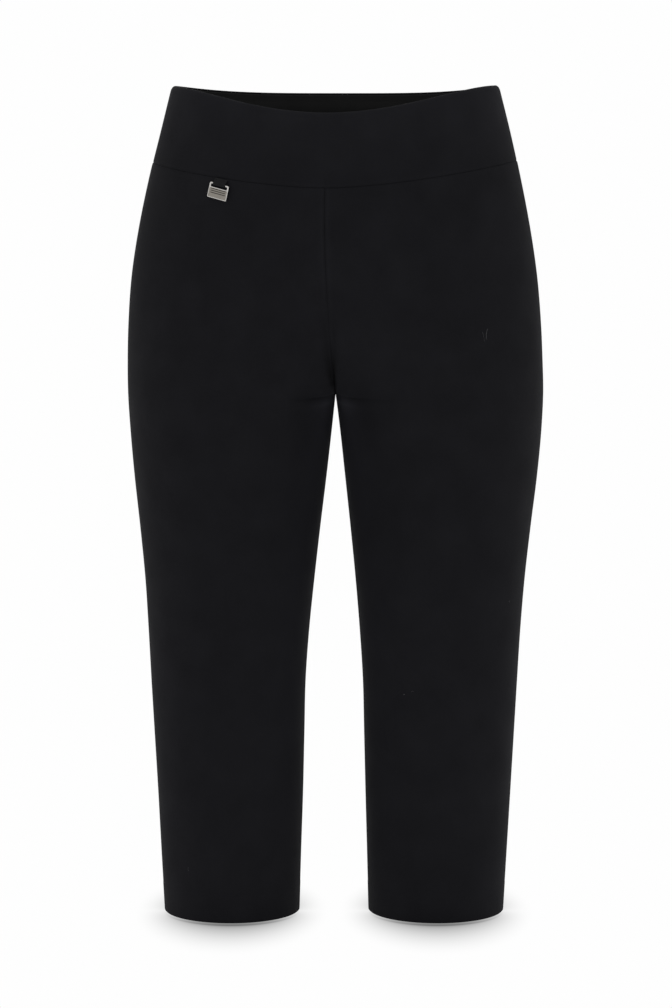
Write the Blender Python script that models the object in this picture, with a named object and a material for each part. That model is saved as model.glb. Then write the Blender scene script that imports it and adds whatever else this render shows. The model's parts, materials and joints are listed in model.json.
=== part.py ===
"""Cropped pull-on leggings, filled out as if worn, with a metal tag below the waistband.

Frame: +Z up, the front faces -Y and the wearer's left is +X.  The origin is the middle of
the waist opening, level with the top edge at the sides.  Sizes in the tables are in
millimetres; everything that is built is in metres.
"""
import math

import bmesh
import bpy
import numpy as np
from mathutils import Matrix, Vector

MM = 0.001

# Driving sizes (mm)
SEAM_GAP = 0.3          # space between neighbouring pieces
CLOTH = 1.3             # one layer of stretch twill
BAND = 2.4              # the waistband with its elastic
FACING = 1.0
HEM_DEPTH = 28.0        # turned-up hem
CROTCH_Z = -291.0
HEM_Z = -797.0
FRONT_CURVE = 66.0      # height over which the front middle seam curves under to the crotch
BACK_CURVE = 100.0
HIP_FADE_TOP = 115.0    # heights over the crotch between which the section goes from one
HIP_FADE_END = -90.0    # oval round the hips to the two legs' own
SEAM_PULL = 0.34        # how far round from the middle seam its sharper curve reaches
TWIST = -4.2            # degrees: the waist is turned a little, front centre to -X
TWIST_START_Z = -110.0  # the turn fades out between these heights
TWIST_END_Z = -340.0

# Sections of the filled-out form.  x_mid: middle, which sways a little to the wearer's
# right.  x_out: half width.  x_gap: half of the space between the legs, negative where
# they are one.  y_front, y_side, y_back: depths.
SECTION_COLUMNS = ("z", "x_mid", "x_out", "x_gap", "y_front", "y_side", "y_back")
SECTIONS = (
    (0, 0.2, 155.2, -33.0, -108, 0, 105),
    (-45, 0.1, 166.6, -28.0, -112, 1, 112),
    (-90, -0.7, 177.4, -23.0, -116, 3, 121),
    (-135, -1.2, 186.6, -18.0, -119, 5, 130),
    (-180, -1.3, 193.5, -13.0, -119, 7, 136),
    (-225, -0.8, 197.1, -8.0, -117, 9, 137),
    (-260, -0.2, 198.4, -3.9, -114, 10, 132),
    (-291, 0.5, 198.7, 0.0, -110, 10, 124),
    (-325, 0.9, 196.9, 4.0, -106, 8, 115),
    (-370, 0.8, 192.9, 9.0, -100, 5, 105),
    (-420, 0.4, 187.2, 14.7, -93, 3, 96),
    (-470, 0.0, 182.1, 20.0, -87, 1, 88),
    (-520, -0.5, 178.7, 24.6, -81, 1, 81),
    (-570, -0.7, 176.1, 27.9, -75, 2, 77),
    (-620, -0.7, 173.5, 29.1, -70, 4, 76),
    (-680, -0.7, 170.4, 30.5, -64, 7, 76),
    (-740, -0.9, 167.4, 32.3, -58, 9, 75),
    (-797, -1.0, 164.4, 33.9, -54, 10, 74),
)

# Edges round the waist.  At the sides they have a height each; across the front and the back
# they dip to the middle's height, with a power and a roundness that shape the dip.
EDGE_COLUMNS = ("middle", "power", "roundness")
TOP_EDGE = {"right": 0.0, "left": 0.0, "front": (-24.1, 1.7, 1.5), "back": (-6.7, 3.5, 1.0)}
WAIST_SEAM = {"right": -72.4, "left": -70.4, "front": (-93.3, 1.55, 1.0),
              "back": (-79.5, 2.0, 1.0)}

# The rounded top edge of the band: depth below the edge and how far each face is set in.
ROLL_COLUMNS = ("depth", "outer", "inner")
BAND_ROLL = (
    (0.0, 3.0, 4.2),
    (0.8, 1.95, 3.5),
    (2.0, 0.95, 2.9),
    (4.0, 0.2, 2.5),
    (7.0, 0.0, BAND),
)
FACING_START = 1        # the facing's top is this many rows of the roll below the edge

# Mesh steps
COLUMNS = 12            # round a quarter of the hips, or half of a leg
BAND_ROWS = 3
HIP_ROWS = 4
CROTCH_ROWS = 8
LEG_ROWS = 15

# The tag and its tape loop, hung from the waist seam on the wearer's right.
TAG_AROUND = 0.374      # share of the way from the middle front to the side seam
TAG_BELOW_SEAM = 6.1
TAG_LEAN = 11.8         # degrees that the bar slopes down to the wearer's left
TAG_REST = 3.0          # degrees that the plate leans in, onto the cloth
TAG_WIDTH = 21.0
TAG_THICK = 1.2
TAG_ARM = 1.9
BAR_HEIGHT = 1.4
WINDOW_HEIGHT = 3.0
PLATE_HEIGHT = 9.2
PLATE_RIM = 1.1
PLATE_STEP = 0.2        # how far the field lies below the rim
PLATE_CORNER = 0.9
TAG_SOFT_EDGE = 0.22
TAPE_WIDTH = 13.0
TAPE_THICK = 0.5
TAPE_HOLE = 1.1         # radius of the fold that the bar lies in
TAPE_SHOULDER = 2.0     # heights over the bar: where the front layer slants to the seam,
TAPE_SPLIT = 4.2        # and where the two layers meet
TAPE_ROOT_DROP = 0.2    # how far below the waist seam the tape's end lies
TAPE_STEPS = 8
BAR_OFF_CLOTH = SEAM_GAP + TAPE_THICK + TAPE_HOLE


def smooth(t):
    """Ease from 0 to 1."""
    t = min(max(t, 0.0), 1.0)
    return t * t * (3 - 2 * t)


def mix(a, b, t):
    return a + (b - a) * t


def section(z):
    """The form's sizes at height z, read from a smooth curve through the sections."""
    table = np.array(SECTIONS, dtype=float)
    heights = table[:, 0]
    slopes = np.gradient(table, heights, axis=0)
    k = int(np.clip(np.searchsorted(-heights, -z) - 1, 0, len(heights) - 2))
    step = heights[k + 1] - heights[k]
    t = (z - heights[k]) / step
    row = ((1 + 2 * t) * (1 - t) ** 2 * table[k] + t * (1 - t) ** 2 * step * slopes[k]
           + t * t * (3 - 2 * t) * table[k + 1] + t * t * (t - 1) * step * slopes[k + 1])
    return dict(zip(SECTION_COLUMNS, row))


def hip_share(u, z, face):
    """1 where the cross section is one oval round the hips, 0 where it is a leg's own."""
    above = z - CROTCH_Z
    at_seam = min(max(above / (FRONT_CURVE if face < 0 else BACK_CURVE), 0.0), 1.0)
    elsewhere = smooth((above - HIP_FADE_END) / (HIP_FADE_TOP - HIP_FADE_END))
    return mix(at_seam, elsewhere, smooth(u / SEAM_PULL))


def form_point(u, z, side, face, inset=0.0):
    """A point of the form's outer face, in mm.

    u runs from 0 at the middle seam or inseam to 1 at the side seam.  side is 1 for the
    wearer's left and -1 for the right, face is -1 for the front and 1 for the back.
    """
    sizes = section(z)
    x_in = max(sizes["x_gap"], 0.0)
    share = hip_share(u, z, face)
    radius = (sizes["x_out"] - x_in) / (2 - share)
    depth = abs(sizes["y_front" if face < 0 else "y_back"] - sizes["y_side"])
    start = -math.asin(1 - share)
    angle = start + u * (math.pi / 2 - start)
    x = sizes["x_out"] - radius + (radius - inset) * math.sin(angle)
    y = sizes["y_side"] + face * (depth - inset) * math.cos(angle)
    x = sizes["x_mid"] + side * (x + SEAM_GAP / 2)
    return np.array((x, y + face * SEAM_GAP / 2, z))


def turned(point):
    """A point of the straight form where the turn of the waist takes it."""
    x, y, z = point
    turn = math.radians(TWIST) * smooth((z - TWIST_END_Z) / (TWIST_START_Z - TWIST_END_Z))
    return Vector((x * math.cos(turn) - y * math.sin(turn),
                   x * math.sin(turn) + y * math.cos(turn), z))


def around(k):
    """Column k's share of the way from the middle to the side, closer near the crotch."""
    return (k / COLUMNS) ** 1.2


def edge_height(edge, u, side, face):
    """Height of the top edge or the waist seam, u from the middle to the side."""
    at_side = edge["left" if side > 0 else "right"]
    dip = dict(zip(EDGE_COLUMNS, edge["front" if face < 0 else "back"]))
    share = (1 - math.sin(u * math.pi / 2) ** dip["power"]) ** dip["roundness"]
    return mix(at_side, dip["middle"], share)


def leg_rows():
    """How to find each row's height: (share of the way from the waist seam, height)."""
    hip_end = CROTCH_Z + BACK_CURVE
    hem_top = HEM_Z + HEM_DEPTH
    rows = [(k / HIP_ROWS, hip_end) for k in range(HIP_ROWS + 1)]
    for k in range(1, CROTCH_ROWS + 1):
        above = BACK_CURVE * (1 - math.sin(k / CROTCH_ROWS * math.pi / 2))
        rows.append((1, CROTCH_Z + above))
    for k in range(1, LEG_ROWS + 1):
        rows.append((1, mix(CROTCH_Z, hem_top, (k / LEG_ROWS) ** 1.3)))
    return rows + [(1, hem_top - CLOTH), (1, HEM_Z)]


def leg_grid(side, face):
    """Rows of points over the outer face of a leg panel, from the waist seam to the hem."""
    grid = []
    for share, height in leg_rows():
        row = []
        for k in range(COLUMNS + 1):
            u = around(k)
            seam = edge_height(WAIST_SEAM, u, side, face) - SEAM_GAP
            row.append(form_point(u, mix(seam, height, share), side, face))
        grid.append(row)
    return np.array(grid)


def grid_normals(grid, side, face):
    """Unit normals of a leg panel's grid, pointing out, kept level along cut edges."""
    normals = np.cross(np.gradient(grid, axis=0), np.gradient(grid, axis=1))
    normals *= -side * face
    above = grid[:, 0, 2] > CROTCH_Z + 1e-6
    below = grid[:, 0, 2] < CROTCH_Z - 1e-6
    normals[above, 0, 0] = 0      # the middle seam's cut lies in its own plane
    normals[below, 0, 1] = 0      # and so do the inseam's and the side seam's
    normals[:, -1, 1] = 0
    normals[0, :, 2] = 0          # the top edge and the hem are cut level
    normals[-2:, :, 2] = 0
    normals[~above & ~below, 0] = (-side, 0, -1)
    return normals / np.linalg.norm(normals, axis=2, keepdims=True)


def leg_walls(side, face):
    """Outer and inner grids of a leg panel; the turned-up hem is two layers thick."""
    outer = leg_grid(side, face)
    thickness = np.full(len(outer), CLOTH)
    thickness[-2:] = 2 * CLOTH
    return outer, outer - grid_normals(outer, side, face) * thickness[:, None, None]


def band_ring(face, drop, share, inset):
    """One ring of points across the front or back, from the right side to the left.

    It lies share of the way from drop mm below the top edge to the waist seam.
    """
    steps = [(-1, around(k)) for k in range(COLUMNS, 0, -1)]
    steps += [(1, around(k)) for k in range(COLUMNS + 1)]
    ring = []
    for side, u in steps:
        start = edge_height(TOP_EDGE, u, side, face) - drop
        z = mix(start, edge_height(WAIST_SEAM, u, side, face), share)
        ring.append(form_point(u, z, side, face, inset))
    return ring


def band_walls(face, first, outer_in, inner_in):
    """Outer and inner grids of the waistband or its facing.

    outer_in and inner_in give the two faces' insets from a row of the roll.
    """
    rolls = [dict(zip(ROLL_COLUMNS, row)) for row in BAND_ROLL]
    places = [(roll, 0.0) for roll in rolls[first:]]
    places += [(rolls[-1], k / BAND_ROWS) for k in range(1, BAND_ROWS + 1)]
    outer = [band_ring(face, roll["depth"], share, outer_in(roll)) for roll, share in places]
    inner = [band_ring(face, roll["depth"], share, inner_in(roll)) for roll, share in places]
    return np.array(outer), np.array(inner)


def material(name, colour, roughness, metallic=0.0):
    finish = bpy.data.materials.new(name)
    finish.use_nodes = True
    shader = finish.node_tree.nodes["Principled BSDF"]
    shader.inputs["Base Color"].default_value = (*colour, 1)
    shader.inputs["Roughness"].default_value = roughness
    shader.inputs["Metallic"].default_value = metallic
    finish.diffuse_color = (*colour, 1)
    return finish


def finish_object(name, mesh_data, finish, place=None):
    """Put a bmesh into a new named object with its faces pointing out."""
    bmesh.ops.recalc_face_normals(mesh_data, faces=mesh_data.faces)
    mesh = bpy.data.meshes.new(name)
    mesh_data.to_mesh(mesh)
    mesh_data.free()
    mesh.materials.append(finish)
    mesh.shade_smooth()
    mesh.set_sharp_from_angle(angle=math.radians(40))
    piece = bpy.data.objects.new(name, mesh)
    piece.matrix_world = place or Matrix()
    bpy.context.scene.collection.objects.link(piece)
    return piece


def wall(name, outer, inner, finish):
    """A closed wall between two grids of points of the straight form."""
    rows, columns = outer.shape[:2]
    mesh_data = bmesh.new()
    layers = []
    for grid in (outer, inner):
        layers.append([[mesh_data.verts.new(turned(point) * MM) for point in row]
                       for row in grid])
    for layer in layers:
        for r in range(rows - 1):
            for c in range(columns - 1):
                corners = (layer[r][c], layer[r][c + 1], layer[r + 1][c + 1], layer[r + 1][c])
                mesh_data.faces.new(corners)
    border = [(0, c) for c in range(columns)]
    border += [(r, columns - 1) for r in range(1, rows)]
    border += [(rows - 1, c) for c in range(columns - 2, -1, -1)]
    border += [(r, 0) for r in range(rows - 2, 0, -1)]
    for (r, c), (next_r, next_c) in zip(border, border[1:] + border[:1]):
        mesh_data.faces.new((layers[0][r][c], layers[0][next_r][next_c],
                             layers[1][next_r][next_c], layers[1][r][c]))
    return finish_object(name, mesh_data, finish)


def tag_frame():
    """Place of the tag's bar: X along the bar, Y into the cloth, Z up the cloth."""
    u = TAG_AROUND
    z = edge_height(WAIST_SEAM, u, -1, -1) - TAG_BELOW_SEAM
    here = turned(form_point(u, z, -1, -1))
    along = (turned(form_point(u - 0.01, z, -1, -1)) - here).normalized()
    up = (turned(form_point(u, z + 1, -1, -1)) - here).normalized()
    out = along.cross(up).normalized()
    up = out.cross(along)
    lean = math.radians(TAG_LEAN)
    bar = along * math.cos(lean) - up * math.sin(lean)
    rise = up * math.cos(lean) + along * math.sin(lean)
    axes = Matrix((bar, -out, rise)).transposed().to_4x4()
    axes.translation = (here + out * BAR_OFF_CLOTH) * MM
    return axes


def lower_corners(mesh_data, half, bottom):
    """The two short edges through the plate at its lower corners."""
    return [edge for edge in mesh_data.edges
            if all(math.isclose(abs(point.co.x), half * MM, abs_tol=1e-6)
                   and math.isclose(point.co.z, bottom * MM, abs_tol=1e-6)
                   for point in edge.verts)]


def tag_plate(finish):
    """The metal tag: a bar, two arms and a plate with a raised rim, hung on its bar."""
    half = TAG_WIDTH / 2
    bar = BAR_HEIGHT / 2
    window = -bar - WINDOW_HEIGHT
    bottom = window - PLATE_HEIGHT
    edges_x = (-half, -half + TAG_ARM, half - TAG_ARM, half)
    edges_z = (bottom, window, -bar, bar)
    mesh_data = bmesh.new()
    points = [[mesh_data.verts.new(Vector((x, TAG_THICK / 2, z)) * MM) for z in edges_z]
              for x in edges_x]
    cells = [(c, r) for c in range(3) for r in range(3) if (c, r) != (1, 1)]
    faces = [mesh_data.faces.new((points[c][r], points[c][r + 1], points[c + 1][r + 1],
                                  points[c + 1][r])) for c, r in cells]
    grown = bmesh.ops.extrude_face_region(mesh_data, geom=faces)["geom"]
    moved = [item for item in grown if isinstance(item, bmesh.types.BMVert)]
    bmesh.ops.translate(mesh_data, verts=moved, vec=(0, -TAG_THICK * MM, 0))
    field = [item for item in grown if isinstance(item, bmesh.types.BMFace)
             and item.calc_center_median().z < window * MM]
    corners = lower_corners(mesh_data, half, bottom)
    bmesh.ops.inset_region(mesh_data, faces=field, thickness=PLATE_RIM * MM)
    bmesh.ops.inset_region(mesh_data, faces=field, thickness=PLATE_STEP * MM,
                           depth=-PLATE_STEP * MM)
    bmesh.ops.bevel(mesh_data, geom=corners, offset=PLATE_CORNER * MM, segments=2,
                    affect="EDGES", profile=0.5)
    lean_in = Matrix.Rotation(math.radians(TAG_REST), 4, "X")
    piece = finish_object("tag_plate", mesh_data, finish, tag_frame() @ lean_in)
    soften = piece.modifiers.new("soft edges", "BEVEL")
    soften.width = TAG_SOFT_EDGE * MM
    soften.segments = 1
    soften.limit_method = "ANGLE"
    soften.angle_limit = math.radians(40)


def tag_loop(finish):
    """The folded tape that the bar hangs in, sewn in at the waist seam above it."""
    outer = TAPE_HOLE + TAPE_THICK
    root = TAG_BELOW_SEAM - TAPE_ROOT_DROP
    outline = []
    hole = []
    for k in range(TAPE_STEPS + 1):
        angle = -math.pi * k / TAPE_STEPS
        for ring, radius in ((outline, outer), (hole, TAPE_HOLE)):
            ring.append((radius * math.cos(angle), radius * math.sin(angle)))
    outline += [(-TAPE_HOLE, TAPE_SHOULDER), (outer - 2 * TAPE_THICK, root), (outer, root)]
    hole += [(-TAPE_HOLE + TAPE_THICK, TAPE_SHOULDER), (TAPE_HOLE - 0.1, TAPE_SPLIT),
             (TAPE_HOLE, TAPE_SPLIT)]
    mesh_data = bmesh.new()
    rings = []
    for x in (-TAPE_WIDTH / 2, TAPE_WIDTH / 2):
        for ring in (outline, hole):
            rings.append([mesh_data.verts.new(Vector((x, y, z)) * MM) for y, z in ring])
    for first, second in ((0, 1), (3, 2), (2, 0), (1, 3)):
        pairs = list(zip(rings[first], rings[second]))
        for (a, b), (c, d) in zip(pairs, pairs[1:] + pairs[:1]):
            mesh_data.faces.new((a, b, d, c))
    finish_object("tag_loop", mesh_data, finish, tag_frame())


def build():
    for item in list(bpy.data.objects):
        bpy.data.objects.remove(item, do_unlink=True)
    cloth = material("black_twill", (0.0095, 0.0095, 0.011), 0.85)
    facing = material("black_facing", (0.008, 0.008, 0.008), 0.9)
    tape = material("black_tape", (0.006, 0.006, 0.006), 0.7)
    metal = material("nickel", (0.62, 0.60, 0.57), 0.28, 1.0)
    for face, face_name in ((-1, "front"), (1, "back")):
        for side, side_name in ((1, "left"), (-1, "right")):
            outer, inner = leg_walls(side, face)
            wall(f"leg_{face_name}_{side_name}", outer, inner, cloth)
        outer, inner = band_walls(face, 0, lambda roll: roll["outer"],
                                  lambda roll: roll["inner"])
        wall(f"waistband_{face_name}", outer, inner, cloth)
        outer, inner = band_walls(face, FACING_START,
                                  lambda roll: roll["inner"] + SEAM_GAP,
                                  lambda roll: roll["inner"] + SEAM_GAP + FACING)
        wall(f"facing_{face_name}", outer, inner, facing)
    tag_loop(tape)
    tag_plate(metal)


build()
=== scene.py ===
import json
import math

import bmesh
import bpy
import numpy as np
from mathutils import Matrix, Vector


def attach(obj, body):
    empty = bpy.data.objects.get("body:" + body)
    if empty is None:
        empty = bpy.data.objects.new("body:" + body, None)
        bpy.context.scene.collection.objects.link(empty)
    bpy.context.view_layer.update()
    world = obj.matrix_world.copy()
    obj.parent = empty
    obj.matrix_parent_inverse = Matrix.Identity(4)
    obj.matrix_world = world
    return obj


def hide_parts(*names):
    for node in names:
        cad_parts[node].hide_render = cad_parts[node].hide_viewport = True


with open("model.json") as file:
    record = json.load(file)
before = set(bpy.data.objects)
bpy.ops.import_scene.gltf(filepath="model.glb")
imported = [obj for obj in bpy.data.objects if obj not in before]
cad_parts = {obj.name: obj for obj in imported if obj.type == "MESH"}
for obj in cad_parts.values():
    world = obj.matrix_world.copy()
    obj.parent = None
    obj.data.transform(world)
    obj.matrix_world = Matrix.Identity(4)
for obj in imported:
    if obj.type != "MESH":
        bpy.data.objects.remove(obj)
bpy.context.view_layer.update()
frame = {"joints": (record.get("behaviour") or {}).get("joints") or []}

MM = 0.001

# ---- The form that the cloth is filled out to, in mm ----------------------------------
CROTCH_Z = -291.0
HEM_Z = -797.0
FRONT_CURVE = 66.0      # height over which the front middle seam curves under to the crotch
BACK_CURVE = 100.0
HIP_FADE_TOP = 115.0    # heights over the crotch between which the section goes from one
HIP_FADE_END = -90.0    # oval round the hips to the two legs' own
SEAM_PULL = 0.34        # how far round from the middle seam its sharper curve reaches
TWIST = -4.2            # degrees: the waist is turned a little, front centre to -X
TWIST_START_Z = -110.0  # the turn fades out between these heights
TWIST_END_Z = -340.0

SECTION_COLUMNS = ("z", "x_mid", "x_out", "x_gap", "y_front", "y_side", "y_back")
SECTIONS = np.array((
    (0, 0.2, 155.2, -33.0, -108, 0, 105),
    (-45, 0.1, 166.6, -28.0, -112, 1, 112),
    (-90, -0.7, 177.4, -23.0, -116, 3, 121),
    (-135, -1.2, 186.6, -18.0, -119, 5, 130),
    (-180, -1.3, 193.5, -13.0, -119, 7, 136),
    (-225, -0.8, 197.1, -8.0, -117, 9, 137),
    (-260, -0.2, 198.4, -3.9, -114, 10, 132),
    (-291, 0.5, 198.7, 0.0, -110, 10, 124),
    (-325, 0.9, 196.9, 4.0, -106, 8, 115),
    (-370, 0.8, 192.9, 9.0, -100, 5, 105),
    (-420, 0.4, 187.2, 14.7, -93, 3, 96),
    (-470, 0.0, 182.1, 20.0, -87, 1, 88),
    (-520, -0.5, 178.7, 24.6, -81, 1, 81),
    (-570, -0.7, 176.1, 27.9, -75, 2, 77),
    (-620, -0.7, 173.5, 29.1, -70, 4, 76),
    (-680, -0.7, 170.4, 30.5, -64, 7, 76),
    (-740, -0.9, 167.4, 32.3, -58, 9, 75),
    (-797, -1.0, 164.4, 33.9, -54, 10, 74),
), dtype=float)
SLOPES = np.gradient(SECTIONS, SECTIONS[:, 0], axis=0)

# A top edge's or a seam's height at each side, and how it dips between them
EDGE_COLUMNS = ("middle", "power", "roundness")
TOP_EDGE = {"right": 0.0, "left": 0.6, "front": (-24.3, 1.95, 1.57), "back": (-7.0, 3.5, 1.0)}
WAIST_SEAM = {"right": -72.4, "left": -70.4, "front": (-93.3, 1.55, 1.0),
              "back": (-79.5, 2.0, 1.0)}

# ---- Cloth and sewing, in mm ----------------------------------------------------------
JOIN = 0.008            # space between two pieces along a seam
CLOTH = 1.3
BAND = 2.4
FACING_SPACE = 0.1      # between the band and its facing
HEM_DEPTH = 28.0
SHOULDER = 2.2          # width over which a panel's edge rounds down into a seam
SEAM_DIP = 0.75         # and how deep it goes
# Down the middle seam: height, and the share of that depth
MIDDLE_DIP = ((-93, 0.75), (-150, 0.65), (-190, 0.45), (-225, 0.3), (-262, 0.6), (-291, 1.0))
ALLOWANCE = 9.0         # seam allowance, pressed open inside
ALLOWANCE_THICK = 0.9   # its thickness as a share of the cloth's
ALLOWANCE_EDGE = 1.2    # width over which its raw edge thins out
RIDGE = 0.3             # how far the allowance lifts the outer face
RIDGE_FLAT = 0.6        # share of the allowance over which the face stays lifted
HEM_RIDGE = 0.15        # how far the turned-up hem lifts it
HEM_EDGE = 1.8          # width over which the hem's raw edge thins out
FOLD_FREE = (22.0, 30.0)    # how far soft folds keep from the long seams and the waist seam
# The seams' painted highlight: a thin line beside each pressed seam edge is painted paler
SHINE_OFF = 2.9         # a seam's pressed edge is a little paler, this far from the seam
SHINE_WIDTH = 1.1
SHINE = 0.22            # how much paler
FAINT_SHINE = 0.25      # how much of it there is at every seam but the middle one
SHINE_TOP_Z = -150.0    # the middle seam's own shine fades out between these heights
SHINE_END_Z = -230.0
# Painted light where the legs shade each other near the inseam: height, and how much paler
# the cloth is painted there.  Each 1 of paler adds PALER_SHARE to the cloth's tone.
INNER_LEG_LIGHT = ((-225, 0.0), (-250, 0.0), (-268, 0.2), (-279, 0.48), (-288, 1.25), (-294, 5.8),
          (-297, 8.6), (-299, 9.4), (-303, 5.9), (-312, 4.1), (-323, 3.2), (-333, 2.6),
          (-344, 2.1), (-361, 1.7), (-379, 1.4), (-403, 0.95), (-459, 0.8), (-500, 0.73),
          (-669, 0.36), (-727, 0.16), (-790, -0.09))
# How far that reaches from the inseam at each height
INNER_LEG_LIGHT_WIDTH = ((-279, 38.0), (-288, 52.0), (-294, 66.0))
# Painted light along the side seam: how much paler the cloth is painted there
SIDE_LIGHT = ((-93, 0.05), (-300, 0.1), (-445, 0.13), (-552, 0.24), (-669, 0.22), (-797, 0.12))
SIDE_WIDTH = 60.0
# Painted shade in a crease down to the crotch beside the front middle seam: height, and how dark
CREASE_SHADE = ((-205, 0.0), (-225, 0.22), (-249, 0.33), (-267, 0.75), (-279, 1.15), (-288, 1.0),
          (-297, 0.0))
# Its distance from the seam, from the top down, and its width: -1 is the wearer's right
CREASE_SHADE_OFF = {-1: ((-205, 3.5), (-297, 3.5)), 1: ((-225, 4.2), (-250, 2.8), (-268, 1.0))}
CREASE_SHADE_WIDTH = {-1: 4.0, 1: 2.4}
# Painted light on the band, towards its top and at its sides
BAND_TOP_LIGHT = 0.2     # the band is paler towards its top, more so at the sides
BAND_SIDE_LIGHT = 0.2
# Painted highlight on the facing's top edge, and painted shade lower down inside the band
FACING_LIGHT_AND_SHADE = (0.6, -0.3, 24.0)     # at the top edge, lower down, and how far down
# Distances from a cut edge at which a panel has its close columns and rows
EDGE_STEPS = np.array((0, 0.08, 0.25, 0.55, 1.0, 1.5, 2.4, 4.0, 6.4, 8.4, 9.0, 9.6, 11.2, 14.0))
HEM_STEPS = (1.2, 0.6, 0.0, -0.6, -1.2, -4, -8, -12, -16, -20, -23.5, -25.5)
PANEL_COLUMNS = 40      # between the close ones
HIP_ROWS = 18
CROTCH_ROWS = 34
LEG_ROWS = 74
ROW_CROWDING = 1.15     # the leg's rows are closer together towards the crotch
ROWS_OVER_HEM = 3.0     # and end this far over the hem's raw edge
FOLD_STEPS = 4          # rows round each half of the hem's fold
SAMPLES = 240           # points along a row when its length is measured
FAR_OFF = 99.0          # stands for a distance past which no seam matters

# ---- The waistband's rolled top edge, in mm -------------------------------------------
ROLL_DEPTH = 5.0        # height over which the outer face rounds in
ROLL_IN = 3.0
NOSE_RADIUS = 0.8       # where the band turns over to its inner face
NOSE_IN = 3.8
NOSE_STEPS = 4          # rows round each half of that turn
ROLL_STEPS = 7
ROLL_END = 7.0          # the roll's rows end this far below the top edge
# Rows of (depth below the top edge, inset from the form)
BAND_BACK = ((1.9, 3.5), (3.4, 2.9), (ROLL_END, BAND))
FACING_FACE = ((1.75, 4.3), (1.85, 4.55), (2.2, 4.72), (3.0, 4.62), (4.4, 4.2),
               (ROLL_END, 3.75))
BAND_ROWS = 12
BAND_SEAM_ROWS = 9      # of the close rows at its seam
FACING_DROP = 0.3       # how far the facing's hidden face is below the band's

# ---- Tag and tape, in mm; heights are measured from the middle of the tag's bar -----------
TAG_WIDTH = 20.8
TAG_THICK = 1.2
TAG_ARM = 1.55
BAR_HEIGHT = 1.4
WINDOW_HEIGHT = 2.8
PLATE_HEIGHT = 10.1
TAG_REST = 3.0          # degrees that the plate leans in, onto the cloth
TAG_ASKEW = 1.0         # degrees that it hangs askew, its left end down
TAG_SHIFT = (0.3, 0.1)  # and how far it has slid along the bar and up
RIM = 0.8
RIM_SOFT = 0.2          # rounding of the rim's edges
OUTER_CORNER = 1.5      # at the bar
LOW_CORNER = 0.9
WINDOW_CORNER = 0.7
FIELD_CORNER = 0.35
CORNER_STEPS = 5
FIELD_DEPTH = 0.28      # how far the brushed field lies below the rim
FIELD_UNDER = 0.25      # how far its plate reaches under the rim
GROOVES = (0.75, 2.6, 4.45)     # fine plain lines, this far below the field's top edge
GROOVE_WIDTH = 0.95
GROOVE_DEPTH = 0.12
GROOVE_MARGIN = 1.6     # from the grooves' ends to the field's sides
GROOVE_END = 0.2        # width over which a groove comes up at its ends
# A groove's section: shares of its width and of its depth
GROOVE_FORM = ((0.5, 0.0), (0.3, 0.8), (0.0, 1.0), (-0.3, 0.8), (-0.5, 0.0))
# Painted shade in the grooves: the colour their deepest part is darkened to
GROOVE_SHADE_COLOUR = (0.015, 0.014, 0.012)

TAPE_WIDTH = 13.0
TAPE_THICK = 0.5
TAPE_HOLE = 1.2         # radius of the fold that the bar lies in
TAPE_ROOT = 5.1         # height over the bar of the tape's sewn-in end
TAPE_BEND_STEPS = 14
TAPE_COLUMNS = 13
TAPE_SELVEDGE = 0.9     # width of the thinner woven edges
SELVEDGE_THICK = 0.35   # their thickness as a share of the tape's
SELVEDGE_PALE = 0.3
# The tape's path down behind the bar, across from its straight line and up from its sewn-in
# end.  Then come the steps up its front, and its front end, across and up in the same way.
TAPE_BACK = ((0.75, 0.3), (0.3, -0.2), (0.05, -0.9), (0.0, -2.0), (0.0, -2.7), (0.0, -4.1))
TAPE_RISE = (0.1, 0.22, 0.36, 0.52, 0.68, 0.84)
TAPE_END = ((0.1, -0.25), (0.62, 0.42))
TAPE_EASE = 1.1         # above 1, the front layer stays forward longer as it rises
STITCH_MARGIN = 1.0     # from the tape's stitches to its edges

# ---- Threads and lint, in mm --------------------------------------------------------------
THREAD_COLUMNS = ("pitch", "length", "thickness", "turn")
UNDERSTITCH = (2.9, 2.3, 0.34, 0.0)
OVERLOCK = (2.3, 3.6, 0.3, 62.0)
TAPE_STITCH = (1.9, 1.5, 0.3, 0.0)
THREAD_SIDES = 5
THREAD_BENDS = 3
THREAD_BOW = 1.6        # how high a stitch bows, as a share of its thickness

# Flecks of lint: u and z are their place on the leg, bend is how far they bow.
LINT_COLUMNS = ("side", "u", "z", "length", "turn", "bend", "thickness")
LINT_STEPS = (-1.0, -0.5, 0.0, 0.5, 1.0)    # along a fleck, from end to end
LINT_SPAN = 0.02        # span of u over which the leg's width there is measured
LINT = (
    (1, 0.5355, -229.5, 9.5, 80, 0.8, 0.22),
    (1, 0.5195, -232.0, 10.0, 103, -0.6, 0.12),
    (1, 0.340, -573.0, 1.1, 30, 0.1, 0.42),
    (1, 0.378, -569.5, 2.4, 15, 0.5, 0.14),
    (1, 0.800, -486.0, 2.2, 55, 0.4, 0.14),
    (-1, 0.700, -746.0, 4.0, 84, 0.7, 0.12),
)

# ---- Finishes -----------------------------------------------------------------------------
# A cloth's tone, from 0 to 1: where it starts, and what the wide patches, the grain, the
# threads and the paler places, most of them painted light and shade, add to it
TONE_START = -0.015
TONE_SHARES = (0.25, 0.15, 0.1)
PALER_SHARE = 0.6
TONE_RANGE = (0.1, 0.4)         # tones of the roughest and the smoothest cloth
CLOTH_SHEEN = 0.055
GRAIN_RELIEF = 0.8              # as a share of the threads' own
CLOTH_RELIEF = 0.00012          # metres
THREAD_RELIEF = 0.0001
METAL_RELIEF = 0.00003
STREAK_RANGE = (0.3, 0.7)       # of the scratches between smoothest and roughest metal
OVER_SHARE = 0.49               # how much of a weave's repeat the warp lies over
DULL_THREAD = 0.75              # shade of the dullest thread, 1 for the brightest
TOUCH_FALL = 40.0               # how fast the floor's darkest shade falls off from a hem

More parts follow.
